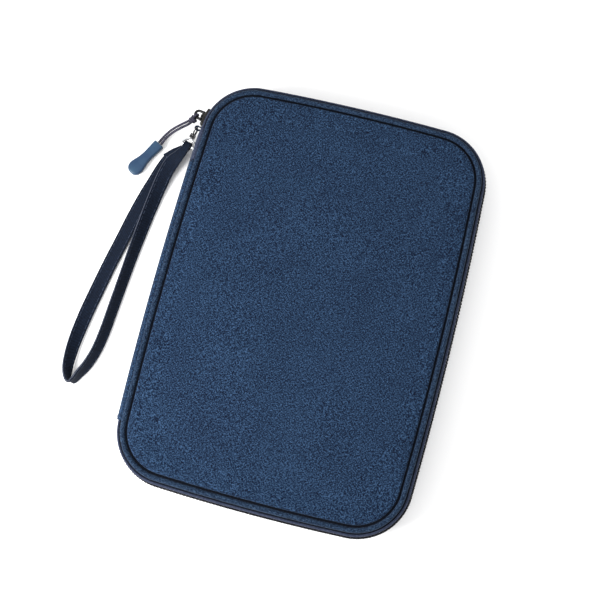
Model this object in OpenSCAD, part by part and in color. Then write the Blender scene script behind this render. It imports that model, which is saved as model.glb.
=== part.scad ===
// Travel document organizer: a padded, zip-round case that opens like a book,
// with a corded zip puller and a wrist strap on a lobster clasp.
// +Z is up through the front cover, +Y is the top end, -X is the spine side.
// The origin is the middle of the back face, which lies on the table.

/* [Case] */
// Width across the zip, spine to opening edge
case_w = 180; // [170:1:190]
// Length along the spine
case_l = 250; // [240:1:260]
// Thickness with both covers closed
case_t = 25; // [24:0.5:28]
// Radius of the rounded corners at the zip
corner_r = 33.5; // [30:0.5:38]
// How far the long sides bulge outward
bow_long = 1.8; // [0.5:0.1:3]
// How far the short sides bulge outward
bow_short = 1.2; // [0.5:0.1:3]

/* [Covers] */
// Distance from the zip's outer edge in to the edge of a padded cover
cover_inset = 8.1; // [7.5:0.1:10]
// Thickness of the outer fabric
fabric_t = 0.9; // [0.6:0.1:1.2]
// Thickness of the foam board
foam_t = 2.9; // [2:0.1:3.5]
// Thickness of the lining
lining_t = 0.7; // [0.4:0.1:1]
// Width of the piping round each cover
piping_w = 3.6; // [3:0.1:3.8]

/* [Zip] */
// Thickness of the nylon coil
coil_t = 2.2; // [1.8:0.1:2.4]
// Width of one half of the coil
coil_w = 2.6; // [2.2:0.1:2.8]
// Gap between the two halves of the coil
coil_gap = 1.4; // [1.2:0.1:1.6]
// Thickness of the zip tape
tape_t = 0.7; // [0.5:0.1:0.8]
// Half the length of the slider, in degrees round the corner
slider_half = 9.6; // [9:0.1:10]

/* [Puller] */
// Radius of the wire of the puller's bail
bail_wire_r = 0.85; // [0.7:0.05:0.9]
// Radius of the round end of the bail
bail_r = 2.3; // [2.2:0.05:2.4]
// Diameter of the puller's cord
cord_d = 1.6; // [1.4:0.1:1.7]
// Length of the rubber tab
tab_l = 25.4; // [22:0.2:28]
// Thickness of the rubber tab
tab_t = 4.4; // [4:0.1:4.6]

/* [Wrist strap] */
// Width of the strap
strap_w = 8.2; // [7:0.1:8.4]
// Thickness of the strap
strap_t = 1.6; // [1.2:0.1:1.7]
// Radius of the lobster clasp's hook
hook_r = 2.6; // [2.5:0.1:2.7]
// Radius of the hook's wire
hook_wire_r = 0.6; // [0.5:0.05:0.65]
// Radius of the D-ring
ring_r = 4.2; // [4.1:0.1:4.4]

/* [Inside] */
// Thickness of a pocket panel
panel_t = 0.7; // [0.4:0.1:0.8]
// Length of the pocket zip
pocket_zip_l = 136; // [120:1:140]
// Inner radius of the pen loop
pen_r = 5; // [4:0.1:5]

/* [Hidden] */

// Outline of the zip: corner centres and number of steps on each arc and side
mid_z = case_t / 2;
corner_x = case_w / 2 - bow_long - corner_r;
corner_y = case_l / 2 - bow_short - corner_r;
arc_steps = 10;
side_steps = 4;

// Layers of a cover, from the outside in
foam_z = fabric_t;
lining_z = foam_z + foam_t;
inside_z = lining_z + lining_t;

// The walls between the covers, as distances from the zip's outer edge
piping_inset = cover_inset - piping_w - 0.1;
piping_z0 = 1;
gusset_out = coil_t + tape_t + 0.15;
gusset_in = piping_inset - 0.1;
gusset_z0 = 1.6;
gusset_z1 = 8.2;
tape_out = coil_t;
tape_z0 = 7;
coil_z1 = mid_z - coil_gap / 2;
coil_z0 = coil_z1 - coil_w;
wall_end_y = 68;
wall_end_bow = 1.5 * bow_long * (corner_y - wall_end_y) / corner_y;

// Where the slider rests round the top corner by the spine
slider_angle = 166;
coil_start_back = 176.5;
coil_start_front = 155.2;
plate_gap = 0.3;
plate_t = 1.1;
plate_z = 3.6;
crown_x = corner_r + 2.8;

// The spine: its two fold lines lie at the seams with the covers
fold_x = -87;
fold_z = 1.5;
spine_top_y = 66;
spine_end_y = -88;

// The puller: the bail's far leg, the cord's two runs and the tab
bail_leg = 2.4;
crown_half = 1.3;
tab_mouth = [-113.3, 78.5, 2.6];
tab_heading = 240.6;
tab_mouth_w = 7;
tab_end_r = 4.9;
cord_r = cord_d / 2;
// The cord's route: out of the tab, round the bail and back into the tab
cord_route = [
    [-114, 79.2, 2.6], [-111.8, 83.2, 3.6], [-109, 86.2, 5.9], [-105.2, 89.1, 8.8],
    [-101, 91.6, 11.3], [-97.6, 93.7, 12.9], [-94.9, 96, 13.9], [-93.85, 98, 14.25],
    [-93, 98.9, 13.75], [-92.65, 99.25, 12.5], [-93, 98.9, 11.25], [-93.85, 98, 10.75],
    [-94.7, 95.8, 11], [-97.4, 92.4, 10.9], [-101, 89.9, 9.7], [-105, 87.2, 7.6],
    [-108.3, 84.6, 5.2], [-110.6, 81.9, 3.4], [-112.3, 78.2, 2.6]
];
knot_at = [-95.15, 95.65, 12.35];

// The clasp lies along its own axis from the anchor tab's eye to the D-ring's bar
eye_at = [-92, 92.4, 7.4];
clasp_heading = 256;
eye_r = 1.05;
eye_wall = 0.55;
eye_h = 2;
shank_x0 = 2 * hook_r - 0.6;
shank_x1 = 2 * hook_r + 2;
shank_r = 1.45;
gate_hub = [2 * hook_r + 0.1, 1];
gate_wire_r = 0.5;
pin_r = 0.3;
ring_wire_r = 0.7;
ring_bar_x = 2 * hook_r + 3 + ring_r;
ring_z = -0.35;
post_r = 0.65;

// The strap's route round the D-ring's bar and back: x, y, z of the middle of the
// strap, then the heading and the tilt of its width
strap_route = [
    [-95.05, 80.4, 5.3, 166, 0], [-97.4, 77.2, 5.1, 158, 0], [-101, 74, 4.2, 149, 0],
    [-104.5, 70, 2.9, 148, 0], [-107.4, 63.6, 1.8, 155, 0], [-110, 55, 1.3, 160, 0],
    [-113, 44.5, 1.2, 162, 0], [-116.2, 30.5, 1.2, 166, 0], [-119.2, 14.5, 1.3, 167, 3],
    [-122.4, -2, 1.5, 169, 6], [-125.1, -18.5, 1.9, 171, 12], [-127.6, -36, 2.7, 173, 24],
    [-129.1, -53, 3.7, 178, 40], [-129, -64.5, 4.4, 186, 54], [-128.1, -70.8, 4.7, 195, 66],
    [-126.9, -74.8, 4.9, 215, 80], [-125.1, -76.6, 4.9, 250, 84], [-122.9, -75.6, 4.8, 120, 78],
    [-120.6, -71, 4.6, 130, 70], [-117.4, -64.3, 4.4, 145, 64], [-114.6, -54.5, 4.2, 160, 61],
    [-113, -42, 4.1, 172, 59], [-112, -26, 4.1, 175, 58], [-111, -10, 4, 176, 56],
    [-110, 6, 3.9, 176, 52], [-108.9, 21, 3.6, 175, 45], [-107.6, 36, 3.2, 174, 36],
    [-106, 50, 3.3, 172, 24], [-104.3, 60, 4.4, 168, 15], [-102.1, 67.3, 5.7, 163, 11],
    [-98.6, 72.6, 7.5, 162, 0], [-96.2, 76.8, 8.4, 165, 0], [-95.05, 80.4, 8.8, 166, 0],
    [-94.75, 81.6, 8.3, 166, 0], [-94.6, 82.1, 7.05, 166, 0], [-94.75, 81.6, 5.8, 166, 0]
];
// The strap's cut end, sewn down on the leg below it: its middle, heading, slope and size
tongue_at = [-101.4, 73.8, 5.7];
tongue_heading = 229;
tongue_slope = 13;
tongue_size = [7.2, 5.8, 0.7];

// Pockets: sizes and places inside the covers. Their outer edges are sewn in all round.
pocket_edge = case_w / 2;
pocket_foot = -case_l / 2;
zip_pocket_y = 22;
mesh_low_y = 46;
mesh_high_y = 108;
passport_x1 = 18;
card_x0 = 22;
card_top_y = 44;
card_step = 16;
pocket_coil_t = 1.5;
pen_x = -72;
pen_y = 70;

/* Outline functions: points run clockwise from the spine's top corner */
function arc_pts(c, r, a0, a1, n = arc_steps) =
    [for (k = [0:n]) let (a = a0 + (a1 - a0) * k / n) c + r * [cos(a), sin(a)]];
function side_pts(p, q, out, bow, n = side_steps) =
    [for (k = [1:n - 1]) let (t = k / n) p + t * (q - p) + out * bow * 4 * t * (1 - t)];
function track(i, a0 = 180, a1 = -180) = let (
    r = corner_r - i,
    w = corner_x,
    l = corner_y
) concat(
    arc_pts([-w, l], r, a0, 90),
    side_pts([-w, l + r], [w, l + r], [0, 1], bow_short),
    arc_pts([w, l], r, 90, 0),
    side_pts([w + r, l], [w + r, -l], [1, 0], bow_long),
    arc_pts([w, -l], r, 0, -90),
    side_pts([w, -l - r], [-w, -l - r], [0, -1], bow_short),
    arc_pts([-w, -l], r, -90, a1)
);
function outline(i) = let (x = -corner_x - corner_r + i) concat(
    track(i),
    side_pts([x, -corner_y], [x, corner_y], [-1, 0], bow_long)
);
function reversed(v) = [for (k = [len(v) - 1:-1:0]) v[k]];

/* Sweep functions */
function unit(v) = v / norm(v);
function smooth(p, q, r, s, t) =
    ((-p + 3 * q - 3 * r + s) * t * t * t + (2 * p - 5 * q + 4 * r - s) * t * t
    + (r - p) * t) / 2 + q;
function fine_open(v, n) = [
    for (k = [0:len(v) - 2], j = [0:n - 1])
        smooth(v[max(k - 1, 0)], v[k], v[k + 1], v[min(k + 2, len(v) - 1)], j / n),
    v[len(v) - 1]
];
function fine_closed(v, n) = let (m = len(v)) [
    for (k = [0:m - 1], j = [0:n - 1])
        smooth(v[(k + m - 1) % m], v[k], v[(k + 1) % m], v[(k + 2) % m], j / n)
];
function ring_faces(n, rings, closed) = [
    for (k = [0:rings - (closed ? 1 : 2)], j = [0:n - 1])
        let (a = k * n, b = ((k + 1) % rings) * n, i = (j + 1) % n)
        each [[a + j, b + j, b + i], [a + j, b + i, a + i]]
];

/* Shared shapes */
module plate(i, z0, z1) {
    translate([0, 0, z0]) linear_extrude(z1 - z0) polygon(outline(i));
}

module hoop(i0, i1, z0, z1) {
    translate([0, 0, z0]) linear_extrude(z1 - z0) difference() {
        polygon(outline(i0));
        polygon(outline(i1));
    }
}

// A wall along the zip, from the angle a0 on the spine's top corner to its bottom corner.
// With a tail, it starts lower down on the spine side, where the spine strip ends.
function wall_tail(i) = [-corner_x - corner_r - wall_end_bow + i, wall_end_y];
module wall(i0, i1, z0, z1, a0 = 180, tail = false) {
    tail0 = tail ? [wall_tail(i0)] : [];
    tail1 = tail ? [wall_tail(i1)] : [];
    translate([0, 0, z0]) linear_extrude(z1 - z0)
        polygon(concat(tail0, track(i0, a0), reversed(track(i1, a0)), tail1));
}

// Turns a shape of the back half into the same shape of the front half
module front_side() {
    translate([0, 0, case_t]) mirror([0, 0, 1]) children();
}

module at_slider() {
    translate([-corner_x, corner_y, 0]) rotate([0, 0, slider_angle]) children();
}

module arc_block(r0, r1, a0, a1, z0, z1) {
    rotate([0, 0, a0]) rotate_extrude(angle = a1 - a0, $fn = 180)
        translate([r0, z0]) square([r1 - r0, z1 - z0]);
}

module at_clasp() {
    translate(eye_at) rotate([0, 0, clasp_heading]) children();
}

// A round tube along an open route, with rings square to it
module tube_along(pts, r, n = 8) {
    last = len(pts) - 1;
    rings = [
        for (k = [0:last])
            let (
                t = unit(pts[min(k + 1, last)] - pts[max(k - 1, 0)]),
                u = unit(cross(t, [0.66, -0.75, 0.2])),
                v = cross(t, u)
            )
            for (j = [0:n - 1]) pts[k] + r * (cos(360 * j / n) * u + sin(360 * j / n) * v)
    ];
    caps = [[for (j = [0:n - 1]) j], [for (j = [n - 1:-1:0]) last * n + j]];
    polyhedron(rings, concat(caps, ring_faces(n, last + 1, false)), convexity = 8);
}

// A flat strap along a closed route of x, y, z, width heading and width tilt. It is
// gathered to w_bar where it passes round the bar at the point bar, and spreads beyond.
strap_turn = 2;
strap_spread = 0.35;
module strap_along(route, w, t, w_bar, bar) {
    m = len(route);
    rings = [
        for (k = [0:m - 1])
            let (
                here = route[k],
                after = route[(k + 1) % m],
                before = route[(k + m - 1) % m],
                c = [here[0], here[1], here[2]],
                along = unit([after[0] - before[0], after[1] - before[1], after[2] - before[2]]),
                aim = [cos(here[3]) * cos(here[4]), sin(here[3]) * cos(here[4]), sin(here[4])],
                wide = unit(aim - (aim * along) * along),
                thick = cross(along, wide),
                here_w = min(w, w_bar + strap_spread * max(0, norm(c - bar) - strap_turn))
            )
            for (c4 = [[-1, -1], [1, -1], [1, 1], [-1, 1]])
                c + wide * c4[0] * here_w / 2 + thick * c4[1] * t / 2
    ];
    polyhedron(rings, ring_faces(4, m, true), convexity = 10);
}

/* Covers */
module back_cover_fabric() color([0.14, 0.22, 0.34]) plate(cover_inset, 0, fabric_t);
module back_foam_board() color([0.2, 0.2, 0.2]) plate(cover_inset, foam_z, lining_z);
module back_lining() color([0.1, 0.11, 0.14]) plate(cover_inset, lining_z, inside_z);
module back_piping() color([0.15, 0.23, 0.35])
    hoop(piping_inset, cover_inset - 0.1, piping_z0, piping_z0 + piping_w);

module front_cover_fabric() front_side() back_cover_fabric();
module front_foam_board() front_side() back_foam_board();
module front_lining() front_side() back_lining();
module front_piping() front_side() back_piping();

/* Walls and zip */
module back_gusset() color([0.12, 0.16, 0.26])
    wall(gusset_out, gusset_in, gusset_z0, gusset_z1, tail = true);
module back_zip_tape() color([0.09, 0.11, 0.18])
    wall(tape_out, tape_out + tape_t, tape_z0, coil_z1, tail = true);
module back_zip_coil() color([0.05, 0.05, 0.07])
    wall(0, coil_t - 0.15, coil_z0, coil_z1, a0 = coil_start_back);

module front_gusset() front_side() back_gusset();
module front_zip_tape() front_side() color([0.09, 0.11, 0.18])
    wall(tape_out, tape_out + tape_t, tape_z0, coil_z1, a0 = coil_start_front);
module front_zip_coil() front_side() color([0.05, 0.05, 0.07])
    wall(0, coil_t - 0.15, coil_z0, coil_z1, a0 = coil_start_front);

// Fabric patch sewn over the zip's far end, where the spine meets the bottom corner
module zip_end_cover() color([0.14, 0.22, 0.34])
    translate([-corner_x - corner_r - 0.9, -corner_y + 0.3, 5.5]) cube([2.6, 1.6, 6.2]);

// Crimped metal stops at the end of the back half's coil
module zip_end_stops() color([0.25, 0.26, 0.28])
    translate([-corner_x - corner_r, -corner_y + 0.2, 8.6]) {
        translate([1.9, 0, 3.3]) cube([1.2, 1.8, 0.4]);
        translate([1.9, 0, 0]) cube([0.3, 1.8, 3.3]);
    }

// Folded ribbon sewn into the wall, with an eye that the clasp hooks through
module strap_anchor_tab() color([0.14, 0.2, 0.3]) {
    z0 = eye_at[2] - eye_h / 2;
    difference() {
        union() {
            translate([eye_at[0], eye_at[1], z0]) cylinder(r = eye_r + eye_wall, h = eye_h, $fn = 32);
            translate([eye_at[0] + 0.4, eye_at[1] - 0.7, z0])
                cube([-corner_x - corner_r + tape_out - eye_at[0] - 0.45, 1.4, eye_h]);
        }
        translate([eye_at[0], eye_at[1], z0 - 1]) cylinder(r = eye_r, h = eye_h + 2, $fn = 32);
    }
}

/* Spine */
module spine_layer(x0, x1, z_edge, shade) color(shade)
    translate([x0, spine_end_y, z_edge])
        cube([x1 - x0, spine_top_y - spine_end_y, case_t - 2 * z_edge]);
module spine_fabric() spine_layer(fold_x - 1.6, fold_x - 0.8, 2.2, [0.14, 0.22, 0.34]);
module spine_board() spine_layer(fold_x - 0.8, fold_x + 0.2, 3.2, [0.2, 0.2, 0.2]);
module spine_lining() spine_layer(fold_x + 0.2, fold_x + 0.8, 2.8, [0.1, 0.11, 0.14]);

/* Zip slider and puller */
module zip_slider() color([0.1, 0.1, 0.11]) at_slider() {
    outer = corner_r + plate_gap;
    inner = corner_r - coil_t - tape_t - plate_gap;
    arc_block(outer, outer + plate_t, -slider_half, slider_half, mid_z - plate_z, mid_z + plate_z);
    arc_block(inner - plate_t, inner, -slider_half, slider_half, mid_z - plate_z, mid_z + plate_z);
    // Nose post between the two halves of the coil
    arc_block(inner - 0.1, outer + 0.1, 5, slider_half, mid_z - 0.4, mid_z + 0.4);
    // Crown that holds the bail
    difference() {
        translate([outer + plate_t - 0.1, -crown_half, mid_z - 1.4]) cube([2.8, 2 * crown_half, 2.8]);
        translate([crown_x, 0, mid_z]) rotate([90, 0, 0])
            cylinder(r = bail_wire_r + 0.05, h = 8, center = true, $fn = 32);
    }
}

module puller_bail() color([0.12, 0.12, 0.13]) at_slider() translate([crown_x, 0, mid_z]) {
    rotate([90, 0, 0])
        cylinder(r = bail_wire_r - 0.05, h = 2 * (bail_r + bail_wire_r), center = true, $fn = 32);
    for (s = [-1, 1]) translate([0, s * bail_r, 0]) rotate([0, 90, 0])
        cylinder(r = bail_wire_r, h = bail_leg, $fn = 32);
    translate([bail_leg, 0, 0]) rotate([0, 0, -90]) rotate_extrude(angle = 180, $fn = 64)
        translate([bail_r, 0]) circle(r = bail_wire_r, $fn = 32);
}

module puller_cord() color([0.1, 0.11, 0.15]) tube_along(fine_open(cord_route, 3), cord_r);

module puller_cord_knot() color([0.12, 0.13, 0.18])
    translate(knot_at) rotate([0, 0, 233]) rotate([0, 90 + 12, 0]) difference() {
        cylinder(r = 3.2, h = 2.4, center = true, $fn = 32);
        cylinder(r = 2.65, h = 4, center = true, $fn = 32);
    }

module pull_tab() color([0.2, 0.33, 0.5])
    translate(tab_mouth) rotate([0, 0, tab_heading]) translate([0, 0, -tab_t / 2]) {
        translate([tab_l - tab_end_r, 0, 0]) cylinder(r = tab_end_r, h = tab_t, $fn = 48);
        linear_extrude(tab_t) polygon([
            [0.1, tab_mouth_w / 2], [0.1, -tab_mouth_w / 2], [tab_l * 0.45, -tab_mouth_w * 0.45],
            [tab_l * 0.75, -tab_mouth_w * 0.5], [tab_l * 0.75, tab_mouth_w * 0.5],
            [tab_l * 0.45, tab_mouth_w * 0.45]
        ]);
    }

/* Lobster clasp, swivel ring and wrist strap */
module clasp_hook() color([0.16, 0.16, 0.17]) at_clasp() difference() {
    union() {
        translate([hook_r, 0, 0]) rotate([90, 0, 0]) rotate([0, 0, 106])
            rotate_extrude(angle = 240, $fn = 64)
                translate([hook_r, 0]) circle(r = hook_wire_r, $fn = 32);
        translate([shank_x0, -shank_r, -1.5]) cube([shank_x1 - shank_x0, 2 * shank_r, 3.3]);
    }
    // Slot for the gate, hole for its pin and bore for the swivel's post
    translate([shank_x0 - 1, -0.85, -0.05]) cube([gate_hub[0] - shank_x0 + 2.1, 1.7, 3]);
    translate([gate_hub[0], 0, gate_hub[1]]) rotate([90, 0, 0])
        cylinder(r = pin_r, h = 6, center = true, $fn = 24);
    translate([shank_x1 - 1, 0, ring_z]) rotate([0, 90, 0])
        cylinder(r = post_r + 0.08, h = 3, $fn = 32);
}

module clasp_gate_pin() color([0.5, 0.5, 0.52]) at_clasp()
    translate([gate_hub[0], 0, gate_hub[1]]) rotate([90, 0, 0])
        cylinder(r = pin_r, h = 2 * shank_r, center = true, $fn = 24);

module clasp_gate() color([0.5, 0.5, 0.52]) at_clasp() difference() {
    union() {
        translate([hook_r, 0, 0]) rotate([90, 0, 0]) rotate([0, 0, 26])
            rotate_extrude(angle = 65, $fn = 64)
                translate([hook_r, 0]) circle(r = gate_wire_r, $fn = 24);
        translate([gate_hub[0], 0, gate_hub[1]]) rotate([90, 0, 0])
            cylinder(r = 0.75, h = 1.2, center = true, $fn = 32);
    }
    translate([gate_hub[0], 0, gate_hub[1]]) rotate([90, 0, 0])
        cylinder(r = pin_r + 0.06, h = 3, center = true, $fn = 24);
}

module swivel_d_ring() color([0.75, 0.76, 0.78]) at_clasp() translate([0, 0, ring_z]) {
    translate([shank_x1 - 0.8, 0, 0]) rotate([0, 90, 0])
        cylinder(r = post_r, h = ring_bar_x - ring_r - shank_x1 + 0.8, $fn = 32);
    translate([ring_bar_x, 0, 0]) {
        rotate([0, 0, 90]) rotate_extrude(angle = 180, $fn = 64)
            translate([ring_r, 0]) circle(r = ring_wire_r, $fn = 32);
        rotate([90, 0, 0]) cylinder(r = ring_wire_r - 0.05, h = 2 * ring_r, center = true, $fn = 32);
    }
}

module wrist_strap() color([0.06, 0.07, 0.1])
    strap_along(fine_closed(strap_route, 2), strap_w, strap_t, 1.05 * ring_r,
        eye_at + [ring_bar_x * cos(clasp_heading), ring_bar_x * sin(clasp_heading), ring_z]);

module strap_tongue() color([0.07, 0.08, 0.12])
    translate(tongue_at) rotate([0, 0, tongue_heading]) rotate([0, tongue_slope, 0])
        cube(tongue_size, center = true);

/* Inside the back cover */
// A flat panel between two heights along y, trimmed to the lining's rounded edge
module panel(x0, x1, y0, y1, z, t = panel_t) {
    translate([0, 0, z]) linear_extrude(t) intersection() {
        polygon(outline(cover_inset + 1));
        translate([x0, y0]) square([x1 - x0, y1 - y0]);
    }
}

document_z = inside_z + 0.1;
zip_panel_z = document_z + panel_t + 0.1;
tape_flat_z = zip_panel_z + panel_t;
coil_flat_z = tape_flat_z + 0.6;

module document_pocket() color([0.12, 0.13, 0.17])
    panel(-pocket_edge, pocket_edge, pocket_foot, mesh_low_y - 6, document_z);
module zip_pocket_panel() color([0.13, 0.14, 0.18])
    panel(-pocket_edge, pocket_edge, pocket_foot, zip_pocket_y + 14, zip_panel_z);
module pocket_zip_tape() color([0.09, 0.11, 0.18])
    panel(-pocket_zip_l / 2 - 4, pocket_zip_l / 2 + 4, zip_pocket_y - 12, zip_pocket_y + 12,
        tape_flat_z, 0.6);
module pocket_zip_coil() color([0.05, 0.05, 0.07])
    panel(-pocket_zip_l / 2, pocket_zip_l / 2, zip_pocket_y - 2, zip_pocket_y + 2,
        coil_flat_z, pocket_coil_t);
module mesh_pocket() color([0.1, 0.1, 0.12])
    panel(-pocket_edge, pocket_edge, mesh_low_y, mesh_high_y, document_z, 0.5);
module mesh_pocket_binding() color([0.08, 0.09, 0.12])
    panel(-pocket_edge, pocket_edge, mesh_low_y - 4, mesh_low_y - 0.1, document_z, 1.2);
module pen_loop() color([0.08, 0.08, 0.1])
    translate([pen_x, pen_y, inside_z + 1.4 + pen_r]) rotate([90, 0, 0]) difference() {
        cylinder(r = pen_r + 0.8, h = 30, center = true, $fn = 48);
        cylinder(r = pen_r, h = 40, center = true, $fn = 48);
    }

module pocket_slider() color([0.15, 0.15, 0.16])
    translate([-pocket_zip_l / 2 + 4, zip_pocket_y, coil_flat_z]) {
        translate([0, -4.2, pocket_coil_t + 0.3]) cube([9, 8.4, 0.8]);
        for (s = [-1, 1]) translate([0, s * 3.4 - 0.8, 0.35]) cube([9, 1.6, pocket_coil_t + 0.2]);
        translate([2, 0, pocket_coil_t + 1.05]) difference() {
            translate([0, -1.2, 0]) cube([3.4, 2.4, 2.2]);
            translate([1.7, 0, 1.1]) rotate([90, 0, 0])
                cylinder(r = 0.7, h = 4, center = true, $fn = 24);
        }
    }

module pocket_puller() color([0.5, 0.5, 0.52])
    translate([-pocket_zip_l / 2 + 7.7, zip_pocket_y, coil_flat_z + pocket_coil_t + 2.15]) {
        rotate([90, 0, 0]) cylinder(r = 0.6, h = 5.2, center = true, $fn = 24);
        for (s = [-1, 1]) translate([0, s * 2.1 - 0.5, -0.5]) cube([5, 1, 1]);
        translate([4, -2.6, -0.5]) cube([18, 5.2, 1]);
    }

/* Inside the front cover */
module front_panel(x0, x1, y0, y1, layer) {
    front_side() panel(x0, x1, y0, y1, inside_z + 0.1 + layer * (panel_t + 0.1));
}

module boarding_pass_pocket() color([0.12, 0.13, 0.17])
    front_panel(-pocket_edge, pocket_edge, pocket_foot, 96, 0);
module passport_pocket() color([0.13, 0.14, 0.18])
    front_panel(-pocket_edge, passport_x1, pocket_foot, -8, 1);
module small_note_pocket() color([0.12, 0.13, 0.17])
    front_panel(-pocket_edge, passport_x1, pocket_foot, -44, 2);
module card_slot(k) color([0.13, 0.14, 0.18])
    front_panel(card_x0, pocket_edge, pocket_foot, card_top_y - card_step * k, k);
module card_slot_1() card_slot(1);
module card_slot_2() card_slot(2);
module card_slot_3() card_slot(3);
module card_slot_4() card_slot(4);

back_cover_fabric();
back_foam_board();
back_lining();
back_piping();
back_gusset();
back_zip_tape();
back_zip_coil();
zip_end_cover();
zip_end_stops();
strap_anchor_tab();
document_pocket();
zip_pocket_panel();
pocket_zip_tape();
pocket_zip_coil();
mesh_pocket();
mesh_pocket_binding();
pen_loop();
spine_fabric();
spine_board();
spine_lining();
front_cover_fabric();
front_foam_board();
front_lining();
front_piping();
front_gusset();
front_zip_tape();
front_zip_coil();
boarding_pass_pocket();
passport_pocket();
small_note_pocket();
card_slot_1();
card_slot_2();
card_slot_3();
card_slot_4();
zip_slider();
puller_bail();
puller_cord();
puller_cord_knot();
pull_tab();
clasp_hook();
clasp_gate_pin();
clasp_gate();
swivel_d_ring();
wrist_strap();
strap_tongue();
pocket_slider();
pocket_puller();
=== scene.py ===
"""The travel document organizer's looks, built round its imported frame.

Lengths are in millimetres in the frame's own axes until a piece is made, and metres after that.
"""

import math

import bmesh
import bpy
import numpy as np
from mathutils import Matrix, Vector, geometry, noise


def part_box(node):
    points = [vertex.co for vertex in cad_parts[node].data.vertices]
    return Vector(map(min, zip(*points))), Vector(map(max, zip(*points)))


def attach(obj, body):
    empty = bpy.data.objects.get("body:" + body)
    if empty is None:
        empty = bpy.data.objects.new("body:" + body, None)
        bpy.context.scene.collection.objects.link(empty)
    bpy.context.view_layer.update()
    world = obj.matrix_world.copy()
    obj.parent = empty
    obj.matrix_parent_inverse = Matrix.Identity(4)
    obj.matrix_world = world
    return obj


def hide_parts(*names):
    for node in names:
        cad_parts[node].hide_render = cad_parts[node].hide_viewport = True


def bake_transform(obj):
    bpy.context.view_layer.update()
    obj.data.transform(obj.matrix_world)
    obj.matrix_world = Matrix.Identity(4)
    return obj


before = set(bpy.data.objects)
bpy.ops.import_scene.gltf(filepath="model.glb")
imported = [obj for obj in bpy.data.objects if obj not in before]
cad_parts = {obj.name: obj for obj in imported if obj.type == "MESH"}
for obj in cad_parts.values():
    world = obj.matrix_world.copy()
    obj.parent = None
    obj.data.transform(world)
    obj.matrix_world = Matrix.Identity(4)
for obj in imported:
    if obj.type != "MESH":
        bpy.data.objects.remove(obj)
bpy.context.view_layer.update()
MM = 0.001


def box_mm(node):
    """Lowest and highest corner of a CAD node, in millimetres."""
    low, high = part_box(node)
    return low / MM, high / MM


# ---- Driving dimensions, read from the frame where it has them ----

HALF_W = box_mm("back_zip_coil")[1].x
HALF_L = box_mm("back_zip_coil")[1].y
CASE_T = box_mm("front_cover_fabric")[1].z
MID_Z = CASE_T / 2
COVER_INSET = HALF_W - box_mm("back_cover_fabric")[1].x
LINING_Z = box_mm("back_lining")[1].z
SPINE_LOW = box_mm("spine_fabric")[0]
SPINE_HIGH = box_mm("spine_fabric")[1]
CORNER_R, BOW_LONG, BOW_SHORT = 33.5, 1.8, 1.2
CORNER_X = HALF_W - BOW_LONG - CORNER_R
CORNER_Y = HALF_L - BOW_SHORT - CORNER_R
SLIDER_ANGLE = 166
WALL_END_Y = SPINE_HIGH.y + 0.6

# Folded seam line of the covers, piping and zip
PIPING_INSET, PIPING_R, PIPING_DEPTH = 5.75, 1.6, 1.85
COIL_PITCH, COIL_WIRE, COIL_STEPS = 2.0, 0.42, 12
COIL_START = {"back": 176.5, "front": 155.2}


# ---- Small geometry tools ----


def rounded_line(start=180.0, closed=False, tail=False, step=1.0):
    """Points and outward normals along the zip's outer edge, clockwise from the spine's top corner."""
    def arc(cx, cy, a0, a1):
        return [
            (cx + CORNER_R * math.cos(math.radians(a)), cy + CORNER_R * math.sin(math.radians(a)))
            for a in np.linspace(a0, a1, 40)
        ]

    def side(p, q, out, bow):
        t = np.linspace(0, 1, 60)[1:-1]
        p, q, out = np.array(p), np.array(q), np.array(out)
        return [tuple(p + k * (q - p) + out * bow * 4 * k * (1 - k)) for k in t]

    x, y, r = CORNER_X, CORNER_Y, CORNER_R
    left = side((-x - r, -y), (-x - r, y), (-1, 0), BOW_LONG)
    line = [p for p in left if p[1] > WALL_END_Y] if tail else []
    line += arc(-x, y, start, 90) + side((-x, y + r), (x, y + r), (0, 1), BOW_SHORT)
    line += arc(x, y, 90, 0) + side((x + r, y), (x + r, -y), (1, 0), BOW_LONG)
    line += arc(x, -y, 0, -90) + side((x, -y - r), (-x, -y - r), (0, -1), BOW_SHORT)
    line += arc(-x, -y, -90, -180)
    if closed:
        line += left
    return even_line(np.array(line), step, closed)


def unit_rows(vectors):
    return vectors / np.linalg.norm(vectors, axis=1)[:, None]


def tangents(points, closed):
    """Unit directions along a line of points."""
    if closed:
        return unit_rows(np.roll(points, -1, axis=0) - np.roll(points, 1, axis=0))
    return unit_rows(np.gradient(points, axis=0))


def distances(line):
    """How far along the line each of its points is."""
    return np.concatenate([[0], np.cumsum(np.linalg.norm(np.diff(line, axis=0), axis=1))])


def even_line(line, step, closed):
    """The line resampled at even steps, with its normals to the left."""
    loop = np.vstack([line, line[:1]]) if closed else line
    along = distances(loop)
    count = max(2, int(round(along[-1] / step)))
    at = np.linspace(0, along[-1], count + 1)
    points = np.stack([np.interp(at, along, loop[:, k]) for k in (0, 1)], axis=1)
    if closed:
        points = points[:-1]
    tangent = tangents(points, closed)
    return points, np.stack([-tangent[:, 1], tangent[:, 0]], axis=1)


def inside_outline(x, y, inset):
    """True if the point is inside the outline at that inset."""
    ax, ay, r = abs(x), abs(y), CORNER_R - inset
    if ay <= CORNER_Y:
        return ax < CORNER_X + r + BOW_LONG * (1 - (y / CORNER_Y) ** 2)
    if ax <= CORNER_X:
        return ay < CORNER_Y + r + BOW_SHORT * (1 - (x / CORNER_X) ** 2)
    return math.hypot(ax - CORNER_X, ay - CORNER_Y) < r


def half_width(y, inset):
    """Half of the outline's width at the height y."""
    r = CORNER_R - inset
    if abs(y) <= CORNER_Y:
        return CORNER_X + r + BOW_LONG * (1 - (y / CORNER_Y) ** 2)
    return CORNER_X + math.sqrt(max(r * r - (abs(y) - CORNER_Y) ** 2, 0))


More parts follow.
